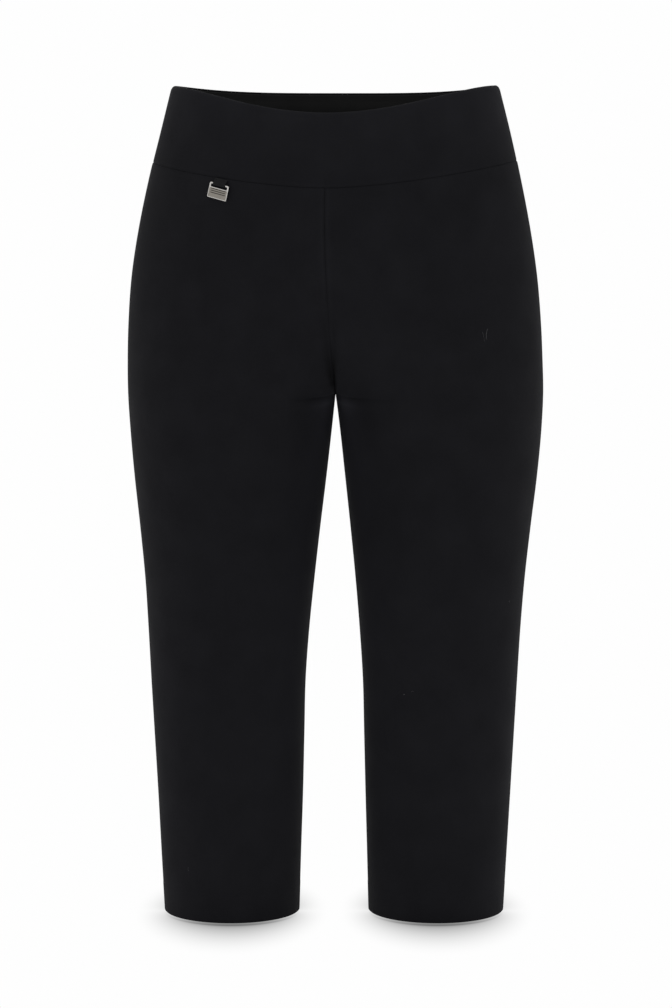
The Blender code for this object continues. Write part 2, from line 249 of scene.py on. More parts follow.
# ---- Studio: the camera and the floor's shade, in mm where a unit is wanted ----------------
LENS = 131.06
SENSOR = 36.0
EYE = (0.00096, -3.5, 0.0013)   # metres
LOOK_DOWN = 6.52                # degrees
FLOOR_Z = -799.0
FLOOR_HALF = 6.0                # metres
WHITE = 0.991                   # how bright the room and the floor are
HEM_MIDDLE = 99.2       # from the middle to a hem's centre
HEM_SHADE_Y = 10.0
HEM_NEAR = (65.0, 64.0, 1000.0)     # half width and half depth of a hem, and a height
HEM_FAR = (96.0, 190.0, 1000.0)     # and of the ring where its shade ends


def smooth(t):
    """Ease from 0 to 1."""
    t = np.clip(t, 0.0, 1.0)
    return t * t * (3 - 2 * t)


def mix(a, b, t):
    return a + (b - a) * t


# ---- The form -------------------------------------------------------------------------

def section(z):
    """The form's sizes at heights z, read from a smooth curve through the sections."""
    heights = SECTIONS[:, 0]
    z = np.asarray(z, dtype=float)
    k = np.clip(np.searchsorted(-heights, -z) - 1, 0, len(heights) - 2)
    step = (heights[k + 1] - heights[k])[..., None]
    t = (z - heights[k])[..., None] / step
    rows = ((1 + 2 * t) * (1 - t) ** 2 * SECTIONS[k] + t * (1 - t) ** 2 * step * SLOPES[k]
            + t * t * (3 - 2 * t) * SECTIONS[k + 1] + t * t * (t - 1) * step * SLOPES[k + 1])
    return dict(zip(SECTION_COLUMNS, np.moveaxis(rows, -1, 0)))


def hip_share(u, z, face):
    """1 where the cross section is one oval round the hips, 0 where it is a leg's own."""
    above = z - CROTCH_Z
    at_seam = np.clip(above / (FRONT_CURVE if face < 0 else BACK_CURVE), 0.0, 1.0)
    elsewhere = smooth((above - HIP_FADE_END) / (HIP_FADE_TOP - HIP_FADE_END))
    return mix(at_seam, elsewhere, smooth(u / SEAM_PULL))


def form(u, z, side, face, inset=0.0, gap=JOIN):
    """Points of the form.  u runs from 0 at the middle seam or inseam to 1 at the side."""
    sizes = section(z)
    x_in = np.maximum(sizes["x_gap"], 0.0)
    share = hip_share(u, z, face)
    radius = (sizes["x_out"] - x_in) / (2 - share)
    depth = np.abs(sizes["y_front" if face < 0 else "y_back"] - sizes["y_side"])
    start = -np.arcsin(1 - share)
    angle = start + u * (math.pi / 2 - start)
    x = sizes["x_out"] - radius + (radius - inset) * np.sin(angle)
    y = sizes["y_side"] + face * (depth - inset) * np.cos(angle)
    x = sizes["x_mid"] + side * (x + gap / 2)
    return np.stack((x, y + face * gap / 2, z + 0 * x), axis=-1)


def turned(points):
    """Points of the straight form where the turn of the waist takes them."""
    x, y, z = np.moveaxis(points, -1, 0)
    turn = math.radians(TWIST) * smooth((z - TWIST_END_Z) / (TWIST_START_Z - TWIST_END_Z))
    return np.stack((x * np.cos(turn) - y * np.sin(turn),
                     x * np.sin(turn) + y * np.cos(turn), z), axis=-1)


def edge_height(edge, u, side, face):
    """Height of the top edge or the waist seam, u from the middle to the side."""
    at_side = edge["left" if side > 0 else "right"]
    dip = dict(zip(EDGE_COLUMNS, edge["front" if face < 0 else "back"]))
    share = (1 - np.sin(u * math.pi / 2) ** dip["power"]) ** dip["roundness"]
    return mix(at_side, dip["middle"], share)


def lengths(points):
    """Distance along each row of points."""
    steps = np.linalg.norm(np.diff(points, axis=-2), axis=-1)
    return np.concatenate((np.zeros(steps.shape[:-1] + (1,)), np.cumsum(steps, -1)), -1)


# ---- How cloth lies at a seam ---------------------------------------------------------

def seam_dip(d):
    """How far the outer face has fallen away d mm from a seam, round as a folded edge."""
    t = np.clip(1 - d / SHOULDER, 0.0, 1.0)
    return SEAM_DIP * (1 - np.sqrt(1 - t * t))


# Painted highlight beside a seam's pressed edge, d mm from the seam
def seam_shine(d):
    return np.exp(-((d - SHINE_OFF) / SHINE_WIDTH) ** 2)


def read_off(table, z):
    """A table's value at heights z; its rows are (height, value) from the top down."""
    heights, values = np.array(table, dtype=float).T
    return np.interp(-z, -heights, values)


def seam_ridge(d):
    """How far the pressed-open allowance lifts the face d mm from a seam."""
    flat = RIDGE_FLAT * ALLOWANCE
    return RIDGE * smooth(d / SHOULDER) * (1 - smooth((d - flat) / ALLOWANCE))


def allowance(d):
    """Thickness that the allowance adds inside, d mm from a seam."""
    start = ALLOWANCE - ALLOWANCE_EDGE / 2
    return ALLOWANCE_THICK * CLOTH * (1 - smooth((d - start) / ALLOWANCE_EDGE))


# ---- Meshes ---------------------------------------------------------------------------

def linked(name, data):
    made = bpy.data.objects.new(name, data)
    bpy.context.scene.collection.objects.link(made)
    return made


def plain_mesh(made):
    """The mesh that an object's modifier or its curve's thickness gives."""
    graph = bpy.context.evaluated_depsgraph_get()
    return bpy.data.meshes.new_from_object(made.evaluated_get(graph))


def curve_mesh(name, paths, radii, closed, **settings):
    """A curve along paths of points, with a radius for each path, as a bmesh."""
    curve = bpy.data.curves.new(name, "CURVE")
    for key, value in settings.items():
        setattr(curve, key, value)
    for path, radius in zip(paths, radii):
        spline = curve.splines.new("POLY")
        spline.points.add(len(path) - 1)
        spline.use_cyclic_u = closed
        for point, place in zip(spline.points, path):
            point.co = (*place, 1)
            point.radius = radius
    holder = linked(name, curve)
    mesh_data = bmesh.new()
    mesh_data.from_mesh(plain_mesh(holder))
    bpy.data.objects.remove(holder)
    return mesh_data


def finish_object(name, mesh_data, finish, sharp=50):
    """Put a bmesh into a new named object, shaded smooth but for its sharp edges."""
    mesh = bpy.data.meshes.new(name)
    mesh_data.to_mesh(mesh)
    mesh_data.free()
    mesh.materials.append(finish)
    mesh.shade_smooth()
    mesh.set_sharp_from_angle(angle=math.radians(sharp))
    return linked(name, mesh)


def lay_map(mesh_data, label, place):
    """Lay a map over a bmesh, where place() says that each of its corners goes."""
    uv = mesh_data.loops.layers.uv.new(label)
    for face in mesh_data.faces:
        for loop in face.loops:
            loop[uv].uv = place(loop.vert)


def wall(name, faces, finish, placed):
    """A closed shell between two grids of points, which placed() takes to their place.

    faces holds the grids, outer and inner.  flat is each point's place on the flat cloth,
    in mm, for the weave, and paler how much paler it is there, mostly painted light and shade.
    """
    rows, columns = faces["outer"].shape[:2]
    mesh_data = bmesh.new()
    paler = mesh_data.verts.layers.float.new("paler")
    place = {}
    layers = []
    for grid in (faces["outer"], faces["inner"]):
        moved = placed(grid) * MM
        layer = []
        for r in range(rows):
            layer.append([mesh_data.verts.new(moved[r, c]) for c in range(columns)])
            for c in range(columns):
                layer[r][c][paler] = faces["paler"][r, c]
                place[layer[r][c]] = faces["flat"][r, c] * MM
        layers.append(layer)
    for layer in layers:
        for r in range(rows - 1):
            for c in range(columns - 1):
                mesh_data.faces.new((layer[r][c], layer[r][c + 1],
                                     layer[r + 1][c + 1], layer[r + 1][c]))
    border = [(0, c) for c in range(columns)]
    border += [(r, columns - 1) for r in range(1, rows)]
    border += [(rows - 1, c) for c in range(columns - 2, -1, -1)]
    border += [(r, 0) for r in range(rows - 2, 0, -1)]
    for (r, c), (next_r, next_c) in zip(border, border[1:] + border[:1]):
        mesh_data.faces.new((layers[0][r][c], layers[0][next_r][next_c],
                             layers[1][next_r][next_c], layers[1][r][c]))
    lay_map(mesh_data, "cloth", place.get)
    bmesh.ops.recalc_face_normals(mesh_data, faces=mesh_data.faces)
    return finish_object(name, mesh_data, finish)


# ---- Leg panels -----------------------------------------------------------------------

def leg_rows(face):
    """Each row as (drop below the waist seam, share of the way down, height, curl).

    A share of 0 follows the waist seam and 1 is level.  The curl goes from 0 to 1 over
    half of the hem's fold.
    """
    curve = FRONT_CURVE if face < 0 else BACK_CURVE
    hip_end = CROTCH_Z + curve
    hem_top = HEM_Z + HEM_DEPTH
    last = EDGE_STEPS[-1]
    rows = [(drop, 0.0, 0.0, 0.0) for drop in EDGE_STEPS]
    rows += [(last, k / HIP_ROWS, hip_end, 0.0) for k in range(1, HIP_ROWS + 1)]
    for k in range(1, CROTCH_ROWS + 1):
        above = curve * (1 - math.sin(k / CROTCH_ROWS * math.pi / 2))
        rows.append((last, 1.0, CROTCH_Z + above, 0.0))
    for k in range(1, LEG_ROWS + 1):
        down = (k / LEG_ROWS) ** ROW_CROWDING
        rows.append((last, 1.0, mix(CROTCH_Z, hem_top + ROWS_OVER_HEM, down), 0.0))
    for above in HEM_STEPS:
        rows.append((last, 1.0, hem_top + above, 0.0))
    for k in range(1, FOLD_STEPS + 1):
        curl = k / (FOLD_STEPS + 0.5)
        rows.append((last, 1.0, HEM_Z + CLOTH * (1 - math.sin(curl * math.pi / 2)), curl))
    return np.array(rows)


def leg_sheet(side, face):
    """The outer face of a leg panel as a grid, with what each point needs to know."""
    rows = leg_rows(face)
    drop, share, height, curl = (column[:, None] for column in rows.T)

    def heights(u):
        return mix(edge_height(WAIST_SEAM, u, side, face) - JOIN - drop, height, share)

    fine = np.broadcast_to(np.linspace(0, 1, SAMPLES), (len(rows), SAMPLES))
    along = lengths(form(fine, heights(fine), side, face))
    whole = along[:, -1:]
    ends = EDGE_STEPS[-1]
    between = np.linspace(0, 1, PANEL_COLUMNS + 2)[1:-1]
    wanted = np.concatenate((np.broadcast_to(EDGE_STEPS, (len(rows), len(EDGE_STEPS))),
                             ends + (whole - 2 * ends) * between,
                             whole - EDGE_STEPS[::-1]), axis=1)
    u = np.array([np.interp(want, row, fine[0]) for want, row in zip(wanted, along)])
    z = heights(u)
    top = edge_height(WAIST_SEAM, u, side, face) - JOIN - z
    return {"u": u, "z": z, "grid": form(u, z, side, face), "across": wanted,
            "to_side": whole - wanted, "to_top": np.where(share < 1, top, FAR_OFF),
            "curl": curl + 0 * u}


def panel_normals(sheet, side, face):
    """Unit normals pointing out, kept level along cut edges so that panels meet."""
    grid = sheet["grid"]
    normals = np.cross(np.gradient(grid, axis=0), np.gradient(grid, axis=1))
    normals *= -side * face
    above = grid[:, 0, 2] > CROTCH_Z + 1e-6
    below = grid[:, 0, 2] < CROTCH_Z - 1e-6
    normals[above, 0, 0] = 0      # the middle seam lies in its own plane
    normals[below, 0, 1] = 0      # and so do the inseam and the side seam
    normals[:, -1, 1] = 0
    normals[0, :, 2] = 0
    normals[sheet["curl"][:, 0] > 0, :, 2] = 0
    normals[~above & ~below, 0] = (-side, 0, -1)
    return normals / np.linalg.norm(normals, axis=2, keepdims=True)


# Soft folds of the leg panels, in mm.  across: distance from the middle seam or inseam.
# turn: degrees from level, rising away from the middle.  A depth below 0 is a trough.
FOLD_COLUMNS = ("face", "side", "across", "z", "length", "width", "turn", "depth")
FOLDS = (
    (-1, -1, 62, -262, 96, 13, 31, -0.9),
    (-1, -1, 70, -292, 118, 15, 24, -0.8),
    (-1, 1, 58, -258, 88, 12, 34, -0.8),
    (-1, 1, 74, -300, 124, 16, 22, -0.9),
    (-1, -1, 96, -348, 92, 17, 14, -0.6),
    (-1, 1, 92, -356, 84, 15, 12, -0.6),
    (-1, -1, 168, -140, 110, 20, 74, -0.5),
    (-1, 1, 176, -152, 122, 21, 80, -0.6),
    (-1, -1, 120, -512, 120, 18, 8, -0.5),
    (-1, 1, 112, -540, 108, 16, -9, -0.5),
    (-1, -1, 70, -668, 130, 22, 78, 0.5),
    (-1, 1, 132, -640, 150, 20, 82, 0.6),
    (1, -1, 66, -330, 120, 14, 33, -1.3),
    (1, -1, 74, -360, 134, 15, 25, -1.0),
    (1, 1, 64, -326, 114, 13, 35, -1.2),
    (1, 1, 80, -366, 130, 16, 23, -1.1),
    (1, -1, 108, -505, 132, 12, 10, -1.3),
    (1, -1, 96, -534, 118, 11, -7, -1.1),
    (1, 1, 102, -512, 126, 12, -11, -1.2),
    (1, 1, 112, -544, 122, 11, 6, -1.2),
    (1, -1, 120, -575, 96, 13, 4, -0.7),
    (1, 1, 94, -580, 104, 13, -3, -0.7),
    (1, -1, 90, -120, 120, 22, 64, -0.6),
    (1, 1, 96, -128, 116, 22, 68, -0.6),
)


def folds(sheet, side, face):
    """How far the soft folds move the cloth out; they die away before each seam."""
    total = np.zeros_like(sheet["u"])
    for row in FOLDS:
        fold = dict(zip(FOLD_COLUMNS, row))
        if (fold["face"], fold["side"]) != (face, side):
            continue
        turn = math.radians(fold["turn"])
        right, up = sheet["across"] - fold["across"], sheet["z"] - fold["z"]
        along = (right * math.cos(turn) + up * math.sin(turn)) / (fold["length"] / 2)
        off = (up * math.cos(turn) - right * math.sin(turn)) / fold["width"]
        shape = (1 - np.clip(along * along, 0, 1)) ** 2 * np.exp(-off * off)
        total += fold["depth"] * shape
    near = np.minimum(sheet["across"], sheet["to_side"])
    return total * smooth(near / FOLD_FREE[0]) * smooth(sheet["to_top"] / FOLD_FREE[1])


def paler_leg(sheet, side, face):
    """Where a leg panel is painted paler or darker as light and shade: a painted highlight
    beside its pressed seams, painted light where the legs shade each other and along the side
    seam, and painted shade in the crease at the front."""
    others = np.minimum(sheet["to_side"], sheet["to_top"])
    # painted highlight beside the pressed seams
    fade = smooth((sheet["z"] - SHINE_END_Z) / (SHINE_TOP_Z - SHINE_END_Z))
    at_middle = mix(FAINT_SHINE, 1.0, fade) * seam_shine(sheet["across"])
    shine = np.maximum(FAINT_SHINE * seam_shine(others), at_middle)
    # painted light where the legs shade each other near the inseam, and along the side seam
    reach = read_off(INNER_LEG_LIGHT_WIDTH, sheet["z"])
    painted_light = read_off(INNER_LEG_LIGHT, sheet["z"]) * np.exp(-(sheet["across"] / reach) ** 3)
    painted_light += read_off(SIDE_LIGHT, sheet["z"]) * np.exp(-(sheet["to_side"] / SIDE_WIDTH) ** 2)
    if face > 0:
        return SHINE * shine + painted_light
    # painted shade in the crease beside the front middle seam
    off = sheet["across"] - read_off(CREASE_SHADE_OFF[side], sheet["z"])
    crease = read_off(CREASE_SHADE, sheet["z"]) * np.exp(-(off / CREASE_SHADE_WIDTH[side]) ** 2)
    return SHINE * shine + painted_light - crease


def panel_faces(side, face):
    """Both faces of a leg panel: seams rolled in at its edges, the hem folded up inside."""
    sheet = leg_sheet(side, face)
    normals = panel_normals(sheet, side, face)
    near = np.minimum(sheet["across"], sheet["to_side"])
    hem = smooth((HEM_Z + HEM_DEPTH + HEM_EDGE / 2 - sheet["z"]) / HEM_EDGE)
    soft = folds(sheet, side, face)
    lift = soft + seam_ridge(near) + HEM_RIDGE * hem
    middle_dip = seam_dip(sheet["across"]) * read_off(MIDDLE_DIP, sheet["z"])
    dips = (middle_dip, seam_dip(sheet["to_side"]), seam_dip(sheet["to_top"]))
    lift -= np.maximum.reduce(dips)
    half_fold = CLOTH * (1 - np.cos(sheet["curl"] * math.pi / 2))
    under = np.minimum(lift, soft + RIDGE) - CLOTH - allowance(near) - CLOTH * hem
    under = np.where(sheet["curl"] > 0, lift - 2 * CLOTH + half_fold, under)
    down = lengths(np.swapaxes(sheet["grid"], 0, 1)).T
    middle = (sheet["across"] + sheet["to_side"]) / 2
    return {"outer": sheet["grid"] + normals * (lift - half_fold)[..., None],
            "inner": sheet["grid"] + normals * under[..., None], "normals": normals,
            "flat": np.stack((sheet["across"] - middle, down), -1),
            "paler": paler_leg(sheet, side, face)}


def allowance_edges(faces):
    """Where the panel's raw edges lie inside, as rows of points and the way they face."""
    close = list(EDGE_STEPS).index(ALLOWANCE)
    hem_top = len(EDGE_STEPS) + HIP_ROWS + CROTCH_ROWS + LEG_ROWS + HEM_STEPS.index(0.0)
    ways = -faces["normals"]
    edges = [(faces["inner"][1:hem_top, c], ways[1:hem_top, c]) for c in (close, -1 - close)]
    return edges + [(faces["inner"][hem_top], ways[hem_top])]


# ---- Waistband and facing -------------------------------------------------------------

def band_columns(face):
    """Places round the band from the wearer's right side to the left: (side, u, to side)."""
    fine = np.linspace(0, 1, SAMPLES)
    z = (edge_height(TOP_EDGE, fine, 1, face) + edge_height(WAIST_SEAM, fine, 1, face)) / 2
    along = lengths(form(fine, z, 1, face))
    whole = along[-1]
    ends = EDGE_STEPS[:-2]
    even = np.linspace(0, whole - ends[-1], PANEL_COLUMNS + 2)[:-1]
    wanted = np.concatenate((even, whole - ends[::-1]))
    u = np.interp(wanted, along, fine)
    sides = np.concatenate((-np.ones(len(u) - 1), np.ones(len(u))))
    u = np.concatenate((u[:0:-1], u))
    across = np.concatenate((-wanted[:0:-1], wanted))
    return sides, u, across, whole - np.abs(across)


def band_grid(face, depth, lift, share, inset):
    """Rows of points round the band; each lies share of the way to lift over the seam."""
    sides, u, _, _ = band_columns(face)
    grid = np.zeros((len(depth), len(u), 3))
    for c, (side, place) in enumerate(zip(sides, u)):
        top = edge_height(TOP_EDGE, place, side, face) - depth
        seam = edge_height(WAIST_SEAM, place, side, face) + lift
        grid[:, c] = form(np.full(len(depth), place), mix(top, seam, share), side, face,
                          inset[:, c])
    return grid


def band_rows(roll):
    """Rows from a rolled top given as (depth, inset) rows: depth, lift, share and inset."""
    depth, inset = np.array(roll, dtype=float).T
    steps = np.arange(1, BAND_ROWS + 1) / (BAND_ROWS + 1)
    low = EDGE_STEPS[:BAND_SEAM_ROWS][::-1]
    depths = np.concatenate((depth, np.full(len(steps) + len(low), depth[-1])))
    lifts = np.concatenate((np.full(len(depth) + len(steps), low[0]), low)) + JOIN
    shares = np.concatenate((np.zeros(len(depth)), steps, np.ones(len(low))))
    insets = np.concatenate((inset, np.full(len(steps) + len(low), inset[-1])))
    return depths, lifts, shares, insets[:, None]


def outer_roll():
    """The band's outer face over its rolled top, from the inner turn down to the face."""
    roll = []
    for k in range(2 * NOSE_STEPS):
        angle = math.pi / 2 * (1 - k / NOSE_STEPS)
        roll.append((NOSE_RADIUS * (1 + math.sin(angle)),
                     NOSE_IN + NOSE_RADIUS * math.cos(angle)))
    for k in range(ROLL_STEPS + 1):
        angle = math.pi / 2 * k / ROLL_STEPS
        roll.append((ROLL_DEPTH * (1 - math.cos(angle)), ROLL_IN * (1 - math.sin(angle))))
    return roll + [(ROLL_END, 0.0)]


def stretched(rows, count):
    """A roll's rows filled up to count rows, evenly along it."""
    rows = np.array(rows, dtype=float)
    at = lengths(rows)
    wanted = np.linspace(0, at[-1], count)
    return list(zip(np.interp(wanted, at, rows[:, 0]), np.interp(wanted, at, rows[:, 1])))


def band_faces(face, shown, hidden, inward):
    """Both faces of the waistband or its facing, from the rows of each.

    The face that shows rounds down into the seams, inward for the band and outward for
    the facing, whose face looks in.
    """
    _, _, across, to_side = band_columns(face)
    depth, lift, share, inset = band_rows(shown)
    to_seam = np.where(share == 1, lift - JOIN, FAR_OFF)
    dip = np.maximum(seam_dip(to_side)[None, :], seam_dip(to_seam)[:, None])
    outer = band_grid(face, depth, lift, share, inset + inward * dip)
    depth, lift, share, inset = band_rows(stretched(hidden, len(shown)))
    inner = band_grid(face, depth, lift, share, np.repeat(inset, len(to_side), axis=1))
    down = lengths(np.swapaxes(outer, 0, 1)).T
    near = np.minimum(to_side[None, :], to_seam[:, None])
    # paler holds a painted highlight beside the band's seams
    return {"outer": outer, "inner": inner,
            "flat": np.stack((across[None, :] + 0 * down, down), -1),
            "paler": SHINE * FAINT_SHINE * seam_shine(near)}


def waistband_faces(face):
    faces = band_faces(face, outer_roll(), BAND_BACK, 1)
    across, down = np.moveaxis(faces["flat"], -1, 0)
    # painted light: the band is painted paler towards its top, more so at its sides
    height = smooth(1 - down / down.max())
    at_side = np.abs(across) / np.abs(across).max()
    faces["paler"] += height * (BAND_TOP_LIGHT + BAND_SIDE_LIGHT * at_side ** 2)
    return faces


def facing_faces(face):
    """The facing hangs inside the band, from just below the top edge to the waist seam."""
    back = [(depth + FACING_DROP, inset + FACING_SPACE) for depth, inset in BAND_BACK]
    faces = band_faces(face, FACING_FACE, back, -1)
    # painted highlight along the facing's top edge, and painted shade lower down inside the band
    top, low, fall = FACING_LIGHT_AND_SHADE
    faces["paler"] += mix(top, low, smooth(faces["flat"][..., 1] / fall))
    return faces


def understitch_row(faces, face):
    """The row of stitches that holds the facing in, just below the top edge."""
    row = len(FACING_FACE) - 1
    points = faces["outer"][row]
    ways = np.zeros_like(points)
    ways[:, 1] = -face
    return points, ways


# ---- Shader groups ------------------------------------------------------------------------

def feed(tree, socket, value):
    """Give an input a plain value, or another node's output."""
    if isinstance(value, bpy.types.NodeSocket):
        tree.links.new(value, socket)
    elif value is not None:
        socket.default_value = value


def node(tree, kind, *values, **settings):
    """A node whose inputs are, in order, plain values or other nodes' outputs."""
    made = tree.nodes.new(kind)
    for key, value in settings.items():
        setattr(made, key, value)
    for socket, value in zip(made.inputs, values):
        feed(tree, socket, value)
    return made


def maths(tree, operation, *values):
    return node(tree, "ShaderNodeMath", *values, operation=operation).outputs[0]


def blend(tree, share, low, high):
    return node(tree, "ShaderNodeMix", share, None, low, high).outputs[0]


def shader_group(name, inputs, outputs):
    """An empty group with named inputs, each with its kind and value, and named outputs."""
    tree = bpy.data.node_groups.new(name, "ShaderNodeTree")
    for label, (kind, value) in inputs.items():
        socket = tree.interface.new_socket(label, in_out="INPUT",
                                           socket_type="NodeSocket" + kind)
        feed(tree, socket, value)
    for label in outputs:
        tree.interface.new_socket(label, in_out="OUTPUT", socket_type="NodeSocketFloat")
    given = tree.nodes.new("NodeGroupInput").outputs
    return tree, given, tree.nodes.new("NodeGroupOutput").inputs


def use(tree, group, **values):
    made = node(tree, "ShaderNodeGroup", node_tree=group)
    for label, value in values.items():
        feed(tree, made.inputs[label], value)
    return made.outputs


def weave_group():
    """Woven threads: each stands up where it lies on top.

    Vector is the place on the flat cloth in metres and Threads their number per metre.
    Repeat is 2 for a plain weave and 4 for a twill.
    """
    tree, given, put = shader_group("weave", {
        "Vector": ("Vector", None), "Threads": ("Float", 2000.0), "Repeat": ("Float", 4.0)},
        ("Height", "Shade"))
    counted = node(tree, "ShaderNodeVectorMath", given["Vector"], None, None, given["Threads"],
                   operation="SCALE")
    warp, weft, _ = node(tree, "ShaderNodeSeparateXYZ", counted.outputs[0]).outputs
    number = [maths(tree, "FLOOR", at) for at in (warp, weft)]
    crown = [maths(tree, "SINE", maths(tree, "MULTIPLY", maths(tree, "FRACT", at), math.pi))
             for at in (warp, weft)]
    step = maths(tree, "DIVIDE", maths(tree, "ADD", *number), given["Repeat"])
    on_top = maths(tree, "LESS_THAN", maths(tree, "FRACT", step), OVER_SHARE)
    height = blend(tree, on_top, crown[1], crown[0])
    uneven = node(tree, "ShaderNodeTexWhiteNoise", None, number[0], noise_dimensions="1D")
    tree.links.new(height, put["Height"])
    bright = blend(tree, uneven.outputs[0], DULL_THREAD, 1.0)
    tree.links.new(maths(tree, "MULTIPLY", height, bright), put["Shade"])
    return tree


def mottle_group():
    """Uneven dye and handling: wide soft patches, and a grain of a few millimetres."""
    tree, given, put = shader_group("mottle", {
        "Vector": ("Vector", None), "Patch Scale": ("Float", 30.0),
        "Grain Scale": ("Float", 480.0)}, ("Patches", "Grain"))
    for scale, label, detail in (("Patch Scale", "Patches", 2.0),
                                 ("Grain Scale", "Grain", 3.0)):
        noise = node(tree, "ShaderNodeTexNoise", given["Vector"], None, given[scale], detail)
        tree.links.new(noise.outputs[0], put[label])
    return tree


def brushed_group():
    """Fine scratches along X, from the place on the metal in metres."""
    tree, given, put = shader_group("brushed", {
        "Vector": ("Vector", None), "Along": ("Float", 160.0), "Across": ("Float", 9000.0)},
        ("Streaks",))
    x, _, z = node(tree, "ShaderNodeSeparateXYZ", given["Vector"]).outputs
    place = node(tree, "ShaderNodeCombineXYZ", maths(tree, "MULTIPLY", x, given["Along"]),
                 maths(tree, "MULTIPLY", z, given["Across"]))
    noise = node(tree, "ShaderNodeTexNoise", place.outputs[0], None, 1.0, 2.0)
    tree.links.new(noise.outputs[0], put["Streaks"])
    return tree


def hem_shade_group():
    """How light the floor is round one hem: Near is the hem's half width and half depth,
    and Far those of the ring where the shade ends.  The shade is darker before the hem
    than beside it, and darkest where they touch."""
    tree, given, put = shader_group("hem_shade", {
        "Vector": ("Vector", None), "Centre": ("Vector", None), "Near": ("Vector", None),
        "Far": ("Vector", None), "Beside": ("Float", 0.16), "Before": ("Float", 0.62),
        "Fall": ("Float", 1.9), "Touching": ("Float", 0.22)}, ("Light",))
    off = node(tree, "ShaderNodeVectorMath", given["Vector"], given["Centre"],
               operation="SUBTRACT").outputs[0]
    shares = [node(tree, "ShaderNodeVectorMath", off, given[label],
                   operation="DIVIDE").outputs[0] for label in ("Near", "Far")]
    near, far = (node(tree, "ShaderNodeVectorMath", share, operation="LENGTH").outputs["Value"]
                 for share in shares)
    way = maths(tree, "DIVIDE", maths(tree, "MULTIPLY", far, maths(tree, "SUBTRACT", near, 1.0)),
                maths(tree, "SUBTRACT", near, far))
    left = node(tree, "ShaderNodeClamp", maths(tree, "SUBTRACT", 1.0, way), 0.0, 1.0).outputs[0]
    depth = node(tree, "ShaderNodeSeparateXYZ", shares[0]).outputs["Y"]
    before = maths(tree, "DIVIDE", maths(tree, "ABSOLUTE", depth),
                   maths(tree, "MAXIMUM", near, 1.0))
    soft = maths(tree, "MULTIPLY", blend(tree, before, given["Beside"], given["Before"]),
                 maths(tree, "POWER", left, given["Fall"]))
    touch = maths(tree, "MULTIPLY", maths(tree, "MULTIPLY", before, given["Touching"]),
                  maths(tree, "POWER", left, TOUCH_FALL))
    tree.links.new(maths(tree, "SUBTRACT", 1.0, maths(tree, "ADD", soft, touch)), put["Light"])
    return tree


# ---- Finishes -----------------------------------------------------------------------------

def blank_finish(name):
    finish = bpy.data.materials.new(name)
    finish.use_nodes = True
    tree = finish.node_tree
    return finish, tree, tree.nodes["Principled BSDF"]


def colour_between(tree, share, *colours):
    """The first colour at a share of 0 and the second at 1, and on past them."""
    mixed = node(tree, "ShaderNodeMix", share, data_type="RGBA", clamp_factor=False)
    for socket, colour in zip(mixed.inputs[6:], colours):
        feed(tree, socket, (*colour, 1) if isinstance(colour, tuple) else colour)
    return mixed.outputs[2]


def set_colour(tree, shader, share, dark, light):
    tree.links.new(colour_between(tree, share, dark, light), shader.inputs["Base Color"])


def set_relief(tree, shader, height, distance, strength):
    bump = node(tree, "ShaderNodeBump", strength, distance, None, height)
    tree.links.new(bump.outputs[0], shader.inputs["Normal"])


def on_piece(tree):
    """Places on a piece, from Object coordinates."""
    return node(tree, "ShaderNodeTexCoord").outputs["Object"]


def cloth_finish(name, dark, light, count, repeat, smoothest, roughest, relief):
    """Dyed cloth: its weave, uneven dye, and its paler places: painted light and shade, and a
    tape's woven edges.

    count is the threads in a metre and repeat how many of them the weave repeats over.
    """
    finish, tree, shader = blank_finish(name)
    flat = node(tree, "ShaderNodeUVMap", uv_map="cloth").outputs[0]
    paler = node(tree, "ShaderNodeAttribute", attribute_name="paler").outputs["Fac"]
    threads = use(tree, WEAVE, Vector=flat, Threads=count, Repeat=repeat)
    mottle = use(tree, MOTTLE, Vector=on_piece(tree))
    tone = TONE_START
    for cause, share in zip((mottle["Patches"], mottle["Grain"], threads["Shade"]), TONE_SHARES):
        tone = maths(tree, "MULTIPLY_ADD", cause, share, tone)
    rough = node(tree, "ShaderNodeMapRange", tone, *TONE_RANGE, roughest, smoothest).outputs[0]
    tree.links.new(rough, shader.inputs["Roughness"])
    set_colour(tree, shader, maths(tree, "MULTIPLY_ADD", paler, PALER_SHARE, tone), dark, light)
    shader.inputs["Specular IOR Level"].default_value = CLOTH_SHEEN
    height = maths(tree, "MULTIPLY_ADD", mottle["Grain"], GRAIN_RELIEF, threads["Height"])
    set_relief(tree, shader, height, CLOTH_RELIEF, relief)
    return finish


def thread_finish():
    finish, tree, shader = blank_finish("black_thread")
    grain = use(tree, MOTTLE, Vector=on_piece(tree), **{"Grain Scale": 1500.0})["Grain"]
    set_colour(tree, shader, grain, (0.004, 0.004, 0.0045), (0.012, 0.012, 0.013))
    shader.inputs["Roughness"].default_value = 0.6
    shader.inputs["Specular IOR Level"].default_value = 0.2
    set_relief(tree, shader, grain, THREAD_RELIEF, 0.4)
    return finish


def lint_finish():
    finish, tree, shader = blank_finish("pale_lint")
    grain = use(tree, MOTTLE, Vector=on_piece(tree))["Grain"]
    set_colour(tree, shader, grain, (0.05, 0.05, 0.052), (0.16, 0.16, 0.165))
    shader.inputs["Roughness"].default_value = 0.9
    shader.inputs["Specular IOR Level"].default_value = 0.1
    return finish


